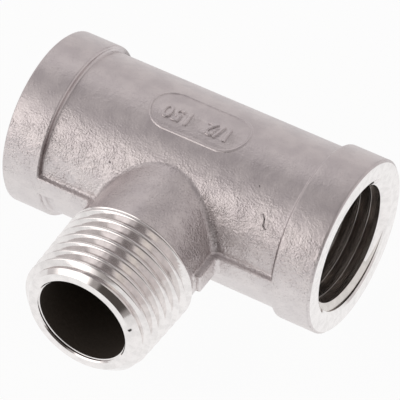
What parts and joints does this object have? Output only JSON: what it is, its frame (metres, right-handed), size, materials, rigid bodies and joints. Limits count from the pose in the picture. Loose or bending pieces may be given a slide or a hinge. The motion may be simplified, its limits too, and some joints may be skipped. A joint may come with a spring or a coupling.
{
  "type": "pipe tee",
  "caption": "Cast threaded pipe tee: a straight run with a collared female socket at each end, and a side branch with a male taper thread.",
  "frame": {"origin": "where the axis of the run crosses the axis of the branch", "axes": "X along the run, -Y out along the branch, +Z square to the plane of the tee"},
  "size_m": [0.0526, 0.0471, 0.0274],
  "materials": {
    "cast_stainless_steel": "satin as-cast skin, bright where machined"
  },
  "bodies": {
    "root": {"tee_body": "cast_stainless_steel"}
  },
  "joints": []
}
